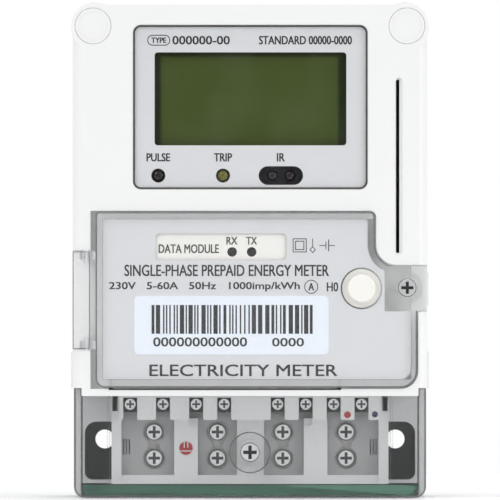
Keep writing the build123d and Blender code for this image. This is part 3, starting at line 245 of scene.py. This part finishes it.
def clear(name, body_colour, chamfer_shade_colour, haze, edge_haze, roughness, walled=False):
    """Clear plastic: see-through when faced, milky towards its edges, with painted shade on its
    chamfers and, for walled covers, painted light in the walls.
    """
    graph = Graph(name)
    relief = graph.noise(2.5 * MM, detail=2.0)
    fingers = graph.noise(11 * MM, detail=5.0, stretch=(1, 1, 0.4))
    smears = graph.spread(fingers, 0.0, 0.012, 0.45, 0.75)
    gloss = graph.spread(graph.noise(6 * MM), roughness * 0.7, roughness * 1.5)
    weight = graph.node("ShaderNodeLayerWeight")
    weight.inputs["Blend"].default_value = 0.5
    turned = weight.outputs["Facing"]
    # faces slanted to the part's front are its chamfers and rounded edges; they get a painted dark
    # shade in place of the refraction that darkens them
    slant = graph.node("ShaderNodeSeparateXYZ")
    graph.feed(slant.inputs[0], graph.node("ShaderNodeTexCoord").outputs["Normal"])
    forward = graph.math("ABSOLUTE", slant.outputs["Y"])
    past_side = graph.spread(forward, 0.0, 1.0, 0.35, 0.55)
    before_front = graph.spread(forward, 1.0, 0.0, 0.85, 0.97)
    chamfer = graph.math("MULTIPLY", past_side, before_front)
    shade = graph.mix(chamfer, clouded(graph, body_colour, 7 * MM, 0.04), tone(chamfer_shade_colour, 1.0))
    body = graph.principled(shade, gloss, graph.bump(relief, 0.01 * MM))
    edge = graph.math("POWER", turned, EDGE_POWER)
    plain = graph.math("ADD", graph.spread(edge, haze, edge_haze), smears)
    share = graph.math("MAXIMUM", plain, graph.math("MULTIPLY", chamfer, CHAMFER_SHARE))
    if walled:
        # painted light: the covers' walls carry light along their length, so they are painted milky
        # from the front
        x, _, z = graph.parts()
        side_wall_light = graph.spread(graph.math("ABSOLUTE", x), 0.0, WALL_SHARE, *SIDE_WALL)
        outside_plate = inset_share(graph, PLATE_CENTRE, PLATE_HALF, 0.3 * MM)
        on_flip_cover = graph.spread(z, 0.0, WALL_SHARE, *COVER_TOP)
        rim_wall_light = graph.math("MULTIPLY", outside_plate, on_flip_cover)
        share = graph.math("MAXIMUM", share, graph.math("MAXIMUM", side_wall_light, rim_wall_light))
    window = graph.node("ShaderNodeBsdfTransparent")
    window.inputs["Color"].default_value = WINDOW
    blend = graph.node("ShaderNodeMixShader")
    graph.feed(blend.inputs[0], share)
    graph.feed(blend.inputs[1], window.outputs[0])
    graph.feed(blend.inputs[2], body)
    return graph.finish(blend.outputs[0])


def recessed(name, colour, roughness):
    """Moulded plastic with painted shade on the floor of the terminal block's wells."""
    graph = Graph(name)
    _, y, _ = graph.parts()
    behind_ribs = graph.spread(y, 0.0, 1.0, *WELL_FRONT)
    before_flange = graph.spread(y, 1.0, 0.0, *WELL_BACK)
    floor = graph.math("MULTIPLY", behind_ribs, before_flange)
    # painted shade darkens the wells' floor
    shade = graph.mix(floor, clouded(graph, colour, CLOUD_SIZE, 0.02), tone(colour, WELL_SHADE))
    return plastic_finish(graph, shade, roughness, GRAIN, GRAIN_DEPTH)


def inset_share(graph, centre, half, soft):
    """0 inside a rectangle of the x-z plane, rising to 1 over the soft distance to its edge."""
    x, _, z = graph.parts()
    across = graph.math("SUBTRACT", graph.distance(x, centre[0]), half[0])
    along = graph.math("SUBTRACT", graph.distance(z, centre[1]), half[1])
    nearest = graph.math("MAXIMUM", across, along)
    return graph.spread(nearest, 0.0, 1.0, -soft / 2, soft / 2)


def liquid_crystal(name):
    """Olive display glass with a painted shadow round its rim from the recess' walls, and faint
    polariser streaks.
    """
    graph = Graph(name)
    low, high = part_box("lcd_panel")
    # painted shadow of the recess' walls on the glass: widest at the right and absent at the bottom
    centre = ((low.x + high.x) / 2 - 0.3 * MM, (low.z + high.z) / 2 - 0.75 * MM)
    painted_rim_shadow = inset_share(graph, centre, (27.8 * MM, 14.0 * MM), 1.1 * MM)
    streaks = graph.noise(5 * MM, detail=4.0, stretch=(0.15, 1, 1))
    face = graph.mix(streaks, (0.050, 0.074, 0.012, 1), (0.064, 0.088, 0.018, 1))
    shade = graph.mix(painted_rim_shadow, face, (0.016, 0.026, 0.003, 1))
    gloss = graph.spread(graph.noise(8 * MM), 0.12, 0.2)
    normal = graph.bump(streaks, 0.003 * MM)
    return graph.finish(graph.principled(shade, gloss, normal, Specular_IOR_Level=0.12))


def printed_film(name, colour):
    """Printed grey film: fine dither of the ink and a slightly wavy surface."""
    graph = Graph(name)
    dither = graph.noise(0.22 * MM, detail=2.0, roughness=0.7)
    ink = graph.mix(dither, tone(colour, 0.965), tone(colour, 1.035))
    wave = graph.noise(14 * MM, detail=2.0)
    shade = graph.mix(graph.spread(wave, 0.0, 0.5), ink, tone(colour, 1.05))
    gloss = graph.spread(graph.noise(3 * MM, detail=4.0), 0.36, 0.5)
    return graph.finish(graph.principled(shade, gloss, graph.bump(dither, 0.003 * MM)))


def lamp_resin(name, colour, speck):
    """Tinted lamp resin with a few lighter specks where the die sits."""
    graph = Graph(name)
    cells = graph.node("ShaderNodeTexVoronoi")
    graph.feed(cells.inputs["Vector"], graph.place)
    cells.inputs["Scale"].default_value = 1.0 / (0.62 * MM)
    dots = graph.spread(cells.outputs["Distance"], 1.0, 0.0, 0.10, 0.28)
    shade = graph.mix(dots, clouded(graph, colour, 1.2 * MM, 0.2), speck)
    gloss = graph.spread(graph.noise(1.5 * MM), 0.12, 0.22)
    return graph.finish(graph.principled(shade, gloss, graph.bump(graph.noise(0.8 * MM), 0.01 * MM)))


def circuit_board(name):
    """Green solder resist over faint copper tracks."""
    graph = Graph(name)
    x, _, z = graph.parts()
    tracks = graph.node("ShaderNodeTexBrick")
    line = graph.node("ShaderNodeCombineXYZ")
    graph.feed(line.inputs[0], x)
    graph.feed(line.inputs[1], z)
    graph.feed(tracks.inputs["Vector"], line.outputs[0])
    tracks.inputs["Scale"].default_value = 1.0 / (5.5 * MM)
    tracks.inputs["Mortar Size"].default_value = 0.06
    tracks.inputs["Color1"].default_value = (0.012, 0.16, 0.065, 1)
    tracks.inputs["Color2"].default_value = (0.016, 0.19, 0.075, 1)
    tracks.inputs["Mortar"].default_value = (0.03, 0.30, 0.12, 1)
    gloss = graph.spread(graph.noise(4 * MM), 0.28, 0.42)
    normal = graph.bump(tracks.outputs["Fac"], 0.03 * MM)
    return graph.finish(graph.principled(tracks.outputs["Color"], gloss, normal))


def terminal_mark(name):
    """Red and navy marks: an earth sign in the disc, and a navy dot at the far right."""
    graph = Graph(name)
    x, _, z = graph.parts()
    navy = graph.math("GREATER_THAN", x, NAVY_FROM)
    beside = graph.between(graph.distance(x, EARTH_X), *EARTH_STEM)
    stem = graph.math("MULTIPLY", beside, graph.math("GREATER_THAN", z, EARTH_STEM_LOW))
    level = graph.math("LESS_THAN", graph.distance(z, EARTH_BAR_Z), EARTH_BAR_HALF)
    disc = graph.math("LESS_THAN", x, 0.0)
    sign = graph.math("MULTIPLY", graph.math("MAXIMUM", stem, level), disc)
    ink = graph.mix(navy, clouded(graph, (0.42, 0.012, 0.02), 1 * MM, 0.2), (0.012, 0.012, 0.10, 1))
    shade = graph.mix(sign, ink, (0.62, 0.62, 0.62, 1))
    return graph.finish(graph.principled(shade, graph.spread(graph.noise(1 * MM), 0.3, 0.5)))


def sleeve(name, colour, stripe):
    """Shrink sleeve or wound tape with bands along its length."""
    graph = Graph(name)
    bands = graph.noise(3 * MM, detail=1.0, stretch=(0.05, 0.05, 1))
    shade = graph.mix(graph.spread(bands, 0.0, 1.0, 0.48, 0.52), colour, stripe)
    return graph.finish(graph.principled(shade, 0.42, graph.bump(graph.noise(1 * MM), 0.02 * MM)))


WHITE = (0.875, 0.875, 0.87)
GREY_FILM = (0.705, 0.708, 0.725)

# y bands of the drivers' recesses, in millimetres, which get painted shade
STEEL_RECESSES = [(-59.85, -58.2), (-51.85, -51.0), (-45.45, -44.1)]  # sealing, small, main screws
LATCH_RECESSES = [(-69.3, -67.9)]

MATERIALS = {
    "white_housing": moulded("white_housing", WHITE, 0.34, depth=0.004 * MM, clouds=0.012),
    "dark_base": moulded(
        "dark_base", (0.030, 0.030, 0.031), 0.55, grain=0.5 * MM, depth=0.012 * MM, clouds=0.12
    ),
    "black_rubber": moulded("black_rubber", (0.02, 0.02, 0.02), 0.75, depth=0.02 * MM, clouds=0.15),
    "steel": metal("steel", (0.92, 0.92, 0.93), 0.30, recesses=STEEL_RECESSES),
    "dark_steel": metal("dark_steel", (0.035, 0.035, 0.037), 0.45),
    "clear_lens": clear("clear_lens", (0.80, 0.81, 0.82), (0.12, 0.12, 0.125), 0.006, 0.60, 0.08),
    "clear_cover": clear(
        "clear_cover", (0.90, 0.905, 0.91), (0.13, 0.135, 0.14), 0.03, 0.50, 0.07, walled=True
    ),
    "grey_print": printed_film("grey_print", GREY_FILM),
    "black_filter": moulded("black_filter", (0.004, 0.004, 0.006), 0.10, depth=0.002 * MM, clouds=0.2),
    "olive_lcd": liquid_crystal("olive_lcd"),
    "holder_white": moulded("holder_white", (0.045, 0.06, 0.02), 0.5),
    "dark_lamp": lamp_resin("dark_lamp", (0.006, 0.002, 0.002), (0.10, 0.045, 0.04, 1)),
    "amber_lamp": lamp_resin("amber_lamp", (0.13, 0.125, 0.008), (0.42, 0.40, 0.10, 1)),
    "circuit_board": circuit_board("circuit_board"),
    "black_plastic": moulded("black_plastic", (0.018, 0.018, 0.02), 0.45, clouds=0.15),
    "transformer_yellow": sleeve("transformer_yellow", (0.72, 0.50, 0.06, 1), (0.60, 0.40, 0.04, 1)),
    "relay_white": moulded("relay_white", (0.70, 0.70, 0.66), 0.42),
    "battery_green": sleeve("battery_green", (0.04, 0.26, 0.13, 1), (0.03, 0.20, 0.10, 1)),
    "gold_contact": metal("gold_contact", (0.80, 0.56, 0.20), 0.22),
    "module_grey": moulded("module_grey", (0.74, 0.74, 0.71), 0.45, clouds=0.03),
    "cream_label": printed_film("cream_label", (0.90, 0.885, 0.85)),
    "button_white": moulded("button_white", (0.90, 0.885, 0.84), 0.26, depth=0.002 * MM, clouds=0.01),
    "clear_screw": metal("clear_screw", (0.97, 0.97, 0.97), 0.34, recesses=LATCH_RECESSES),
    "plated_terminal": metal("plated_terminal", (0.50, 0.50, 0.48), 0.38),
    "reader_grey": moulded("reader_grey", (0.42, 0.42, 0.42), 0.5),
    "brass": metal("brass", (0.76, 0.57, 0.26), 0.28),
    "block_grey": recessed("block_grey", (0.78, 0.78, 0.785), 0.42),
    "red_mark": terminal_mark("red_mark"),
    "shunt_alloy": metal("shunt_alloy", (0.62, 0.46, 0.34), 0.35),
    "green_rubber": moulded("green_rubber", (0.085, 0.205, 0.150), 0.6, depth=0.02 * MM, clouds=0.12),
    "label_white": printed_film("label_white", (0.85, 0.895, 0.97)),
}


def ink(name, colour):
    """Printing ink, a little uneven."""
    graph = Graph(name)
    shade = clouded(graph, colour, 0.5 * MM, 0.15)
    return graph.finish(graph.principled(shade, graph.spread(graph.noise(0.7 * MM), 0.4, 0.6)))


INK = ink("black_ink", (0.012, 0.012, 0.014))
GREY_INK = ink("grey_ink", (0.075, 0.07, 0.06))

for node_name, node_object in frame["nodes"].items():
    node_object.data.materials.clear()
    node_object.data.materials.append(MATERIALS[SLOT_OF[node_name]])


# ---------------------------------------------------------------- prints
def front_of(node):
    """y of a node's front face."""
    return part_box(node)[0].y


MASK_Y = front_of("display_mask")
PLATE_Y = front_of("nameplate")
LABEL_Y = front_of("serial_label")
MODULE_LABEL_Y = front_of("module_label")


def put(name, mesh, body, material):
    """A mesh that is already in place, as a piece riding on a body."""
    piece = bpy.data.objects.new(name, mesh)
    bpy.context.scene.collection.objects.link(piece)
    mesh.materials.clear()
    mesh.materials.append(material)
    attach(piece, body)
    return piece


def lettering(name, words, left, right, low, high, y, body, slot, material=None, weight=0.16):
    """Words fitted into a box of the x-z plane in millimetres, as raised ink on the surface at y.

    Overprinting them, shifted by the weight in millimetres, makes the strokes heavier.
    """
    curve = bpy.data.curves.new(name, "FONT")
    curve.body = words
    curve.extrude = PRINT / 2
    curve.resolution_u = 3
    text = bpy.data.objects.new(name + "_curve", curve)
    bpy.context.scene.collection.objects.link(text)
    bpy.context.view_layer.update()
    mesh = bpy.data.meshes.new_from_object(text)
    bpy.data.objects.remove(text)
    xs = [v.co.x for v in mesh.vertices]
    ys = [v.co.y for v in mesh.vertices]
    wide = (right - left - weight) * MM / (max(xs) - min(xs))
    tall = (high - low - weight / 2) * MM / (max(ys) - min(ys))
    for vertex in mesh.vertices:
        x, up, out = vertex.co
        vertex.co = (
            left * MM + (x - min(xs)) * wide,
            y - PRINT / 2 - out,
            low * MM + (up - min(ys)) * tall,
        )
    work = bmesh.new()
    for layer, (across, upward) in enumerate(((0, 0), (1, 0), (0, 0.5), (1, 0.5))):
        first = len(work.verts)
        work.from_mesh(mesh)
        work.verts.ensure_lookup_table()
        shift = (across * weight * MM, -OVERPRINT * layer, upward * weight * MM)
        bmesh.ops.translate(work, verts=work.verts[first:], vec=shift)
    work.to_mesh(mesh)
    work.free()
    return put(name, mesh, body, material or INK)


def slab(mesh, left, right, low, high, y):
    """Adds one rectangle of ink to a bmesh, in millimetres."""
    corners = [(left, low), (right, low), (right, high), (left, high)]
    front = [mesh.verts.new((x * MM, y - PRINT, z * MM)) for x, z in corners]
    back = [mesh.verts.new((x * MM, y, z * MM)) for x, z in corners]
    mesh.faces.new(front)
    mesh.faces.new(back[::-1])
    for i in range(4):
        mesh.faces.new((front[i - 1], back[i - 1], back[i], front[i]))


def stroke(mesh, points, width, y, closed=False):
    """Adds an ink line through points of the x-z plane, in millimetres, with mitred corners."""
    count = len(points)
    inner, outer = [], []
    for i, (x, z) in enumerate(points):
        before = points[i - 1] if closed or i else None
        after = points[(i + 1) % count] if closed or i < count - 1 else None
        ways = [Vector((x - before[0], z - before[1])).normalized()] if before else []
        ways += [Vector((after[0] - x, after[1] - z)).normalized()] if after else []
        way = sum(ways, Vector((0, 0))).normalized()
        side = Vector((-way.y, way.x))
        reach = width / 2 / max(0.35, side.dot(Vector((-ways[0].y, ways[0].x))))
        inner.append((x + side.x * reach, z + side.y * reach))
        outer.append((x - side.x * reach, z - side.y * reach))
    rows = [
        [mesh.verts.new((x * MM, depth, z * MM)) for x, z in line]
        for line in (inner, outer)
        for depth in (y - PRINT, y)
    ]
    inner_front, inner_back, outer_front, outer_back = rows
    for i in range(count if closed else count - 1):
        j = (i + 1) % count
        mesh.faces.new((inner_front[i], inner_front[j], outer_front[j], outer_front[i]))
        mesh.faces.new((inner_back[j], inner_back[i], outer_back[i], outer_back[j]))
        mesh.faces.new((inner_front[j], inner_front[i], inner_back[i], inner_back[j]))
        mesh.faces.new((outer_front[i], outer_front[j], outer_back[j], outer_back[i]))
    if not closed:
        for i in (0, count - 1):
            mesh.faces.new((inner_front[i], outer_front[i], outer_back[i], inner_back[i]))


def drawn(name, draw, body, material=None):
    """A piece from a function that draws into a bmesh."""
    work = bmesh.new()
    draw(work)
    bmesh.ops.recalc_face_normals(work, faces=work.faces)
    mesh = bpy.data.meshes.new(name)
    work.to_mesh(mesh)
    work.free()
    return put(name, mesh, body, material or INK)


def outline(name, points, width, y, body, slot, material=None):
    """A closed line of ink, as a piece of its own."""
    return drawn(name, lambda mesh: stroke(mesh, points, width, y, True), body, material)


def ring_points(x, z, radius, steps=40):
    """Points of a circle, in order."""
    turns = [2 * math.pi * i / steps for i in range(steps)]
    return [(x + radius * math.cos(turn), z + radius * math.sin(turn)) for turn in turns]


def rounded_points(left, right, low, high, radius, steps=8):
    """Outline of a rounded rectangle, in order."""
    points = []
    for x, z, start in (
        (right - radius, high - radius, 0),
        (left + radius, high - radius, 90),
        (left + radius, low + radius, 180),
        (right - radius, low + radius, 270),
    ):
        for i in range(steps + 1):
            angle = math.radians(start + 90 * i / steps)
            points.append((x + radius * math.cos(angle), z + radius * math.sin(angle)))
    return points


# heights of the rows of words on the display panel, in millimetres
TOP_ROW = (124.2, 126.9)
LAMP_ROW = (87.6, 90.2)


def display_prints():
    """Words, the badge outline and the dark border printed behind the display lens."""
    on_mask = dict(y=MASK_Y, body="meter", slot="grey_print")
    lettering("print_approval", "000000-00", -24.3, -6.3, *TOP_ROW, **on_mask)
    lettering("print_badge", "TYPE", -30.9, -26.2, 124.7, 126.4, **on_mask)
    outline("print_badge_ring", rounded_points(-32.0, -25.1, 124.0, 127.1, 1.5), 0.28, **on_mask)
    lettering("print_standard", "STANDARD 00000-0000", 2.8, 31.9, *TOP_ROW, **on_mask)
    lettering("print_pulse", "PULSE", -32.4, -25.0, *LAMP_ROW, **on_mask)
    lettering("print_trip", "TRIP", -11.3, -5.6, *LAMP_ROW, **on_mask)
    lettering("print_ir", "IR", 8.4, 10.9, *LAMP_ROW, **on_mask)
    low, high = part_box("display_lens")
    edge = 0.35
    border = rounded_points(
        low.x / MM + edge, high.x / MM - edge, low.z / MM + edge, high.z / MM - edge, 2.2
    )
    just_inside = high.y - 0.02 * MM
    outline("display_border", border, 0.55, just_inside, "meter", "grey_print", GREY_INK)


def nameplate_prints():
    """Words and symbols on the nameplate."""
    on_plate = dict(y=PLATE_Y, body="flip_cover", slot="grey_print")
    lettering("print_title", "SINGLE-PHASE PREPAID ENERGY METER", -39.3, 24.7, 51.7, 55.3, **on_plate)
    lettering("print_rating", "230V   5-60A   50Hz   1000imp/kWh", -44.1, 15.6, 46.9, 49.9, **on_plate)
    lettering("print_class", "A", 18.2, 20.1, 47.2, 49.6, **on_plate)
    outline("print_class_ring", ring_points(19.15, 48.4, 2.05), 0.26, **on_plate)
    lettering("print_index", "H0", 24.0, 27.6, 46.9, 49.8, **on_plate)
    lettering("print_maker", "ELECTRICITY METER", -31.5, 27.4, 20.4, 24.1, **on_plate)
    drawn("print_symbols", draw_symbols, "flip_cover")


def draw_symbols(mesh):
    """Double insulation, remote switching and battery signs."""
    y = PLATE_Y
    for inset in (0.0, 0.75):
        left, right = 13.5 + inset, 17.6 - inset
        low, high = 59.3 + inset, 63.4 - inset
        stroke(mesh, [(left, low), (right, low), (right, high), (left, high)], 0.26, y, True)
    stroke(mesh, [(19.6, 60.9), (19.6, 63.5)], 0.24, y)
    stroke(mesh, [(19.6, 60.9), (20.45, 60.0), (19.6, 59.1), (18.75, 60.0)], 0.24, y, True)
    stroke(mesh, [(21.7, 61.3), (23.7, 61.3)], 0.24, y)
    stroke(mesh, [(23.75, 60.1), (23.75, 62.5)], 0.26, y)
    stroke(mesh, [(24.6, 59.5), (24.6, 63.2)], 0.3, y)
    stroke(mesh, [(24.6, 61.3), (26.6, 61.3)], 0.24, y)


# the bars on the serial label, in millimetres
BAR_WIDTHS = (0.45, 0.45, 0.9, 1.35)
BAR_GAPS = (0.45, 0.6, 0.9)
BAR_SPAN = (-30.8, 19.65)
BAR_ROW = (33.7, 42.7)
BAR_SEED = 7


def label_prints():
    """Bars that encode nothing, and zeros, on the serial label."""
    on_label = dict(y=LABEL_Y, body="flip_cover", slot="label_white")
    lettering("print_serial", "000000000000", -30.3, -0.9, 29.7, 32.6, **on_label)
    lettering("print_year", "0000", 6.9, 16.9, 29.7, 32.4, **on_label)

    def bars(mesh):
        pick = random.Random(BAR_SEED)
        at, end = BAR_SPAN
        while at < end:
            width = pick.choice(BAR_WIDTHS)
            slab(mesh, at, min(at + width, end), *BAR_ROW, LABEL_Y)
            at += width + pick.choice(BAR_GAPS)

    drawn("print_bars", bars, "flip_cover")


def module_prints():
    """Words on the communication module's label."""
    on_module = dict(y=MODULE_LABEL_Y, body="meter", slot="cream_label", material=GREY_INK)
    lettering("print_module", "DATA MODULE", -28.6, -9.7, 58.9, 61.7, **on_module)
    lettering("print_receive", "RX", -7.4, -3.9, 61.6, 64.0, **on_module)
    lettering("print_send", "TX", -1.2, 2.2, 61.6, 64.0, **on_module)


display_prints()
nameplate_prints()
label_prints()
module_prints()


# ---------------------------------------------------------------- floor, light and camera
VIEW_X, VIEW_Z = 0.0, 59.9 * MM
# from the lens to the housing's front: far enough that depth hardly shifts anything, and well
# under the 7.5 m at which the camera for views from other angles would be past its clip distance
VIEW_DISTANCE = 5.0
FRAME_WIDTH = 156.4 * MM  # what the frame's width spans at the housing's front
SENSOR = 36.0
CLIP_RANGE = (0.05, 30)
FLOOR_RADIUS = 0.5
WORLD_STRENGTH = 0.85


def make_floor():
    """A wide pale disc under the meter."""
    low, high = cad_box
    work = bmesh.new()
    bmesh.ops.create_circle(work, cap_ends=True, segments=96, radius=FLOOR_RADIUS)
    mesh = bpy.data.meshes.new("floor")
    work.to_mesh(mesh)
    work.free()
    floor = bpy.data.objects.new("floor", mesh)
    bpy.context.scene.collection.objects.link(floor)
    floor.location = (0, (low.y + high.y) / 2, low.z - 0.1 * MM)
    graph = Graph("pale_floor")
    shade = clouded(graph, (0.96, 0.96, 0.96), 120 * MM, 0.008)
    mesh.materials.append(graph.finish(graph.principled(shade, 0.6)))


def area_light(name, place, aim, size, power):
    """A rectangular soft light at a place, turned to its aim."""
    light = bpy.data.lights.new(name, "AREA")
    light.shape = "RECTANGLE"
    light.size, light.size_y = size
    light.energy = power
    lamp = bpy.data.objects.new(name, light)
    bpy.context.scene.collection.objects.link(lamp)
    lamp.location = place
    lamp.rotation_euler = (Vector(aim) - Vector(place)).to_track_quat("-Z", "Y").to_euler()


def make_world():
    """Soft grey light all round, seen by the camera as plain white."""
    world = bpy.data.worlds.new("studio")
    bpy.context.scene.world = world
    world.use_nodes = True
    tree = world.node_tree
    tree.nodes.clear()
    around = tree.nodes.new("ShaderNodeBackground")
    around.inputs["Strength"].default_value = WORLD_STRENGTH
    # the side that the camera stands on is darker, so that metal and clear plastic show their shape
    place = tree.nodes.new("ShaderNodeTexCoord")
    split = tree.nodes.new("ShaderNodeSeparateXYZ")
    fall = tree.nodes.new("ShaderNodeMapRange")
    tree.links.new(place.outputs["Generated"], split.inputs[0])
    tree.links.new(split.outputs["Y"], fall.inputs["Value"])
    fall.inputs["From Min"].default_value = -1.0
    fall.inputs["From Max"].default_value = -0.72
    fall.inputs["To Min"].default_value = 0.0
    fall.inputs["To Max"].default_value = 1.0
    shades = tree.nodes.new("ShaderNodeMix")
    shades.data_type = "RGBA"
    tree.links.new(fall.outputs["Result"], shades.inputs["Factor"])
    shades.inputs["A"].default_value = (0.25, 0.25, 0.26, 1)
    shades.inputs["B"].default_value = (0.95, 0.96, 0.97, 1)
    tree.links.new(shades.outputs["Result"], around.inputs["Color"])
    seen = tree.nodes.new("ShaderNodeBackground")
    seen.inputs["Color"].default_value = (1, 1, 1, 1)
    path = tree.nodes.new("ShaderNodeLightPath")
    pick = tree.nodes.new("ShaderNodeMixShader")
    output = tree.nodes.new("ShaderNodeOutputWorld")
    tree.links.new(path.outputs["Is Camera Ray"], pick.inputs[0])
    tree.links.new(around.outputs[0], pick.inputs[1])
    tree.links.new(seen.outputs[0], pick.inputs[2])
    tree.links.new(pick.outputs[0], output.inputs["Surface"])


def make_camera():
    """The photograph's straight frontal view, nearly orthographic."""
    front = front_of("front_housing")
    data = bpy.data.cameras.new("camera")
    data.sensor_width = SENSOR
    data.lens = SENSOR * VIEW_DISTANCE / FRAME_WIDTH
    data.clip_start, data.clip_end = CLIP_RANGE
    camera = bpy.data.objects.new("camera", data)
    bpy.context.scene.collection.objects.link(camera)
    camera.location = (VIEW_X, front - VIEW_DISTANCE, VIEW_Z)
    camera.rotation_euler = (math.radians(90), 0, 0)
    bpy.context.scene.camera = camera


make_floor()
make_world()
middle = (cad_box[0] + cad_box[1]) / 2
area_light("key", (-0.55, -0.85, 0.62), middle, (0.5, 0.5), 2.4)
area_light("fill", (0.75, -0.75, 0.30), middle, (0.5, 0.7), 2.2)
area_light("top", (0.05, -0.10, 0.95), middle, (0.7, 0.5), 1.6)
area_light("back", (0.3, 0.9, 0.55), middle, (0.6, 0.6), 1.6)
make_camera()
bpy.context.scene.view_settings.view_transform = "Standard"
bpy.context.scene.cycles.transparent_max_bounces = 24
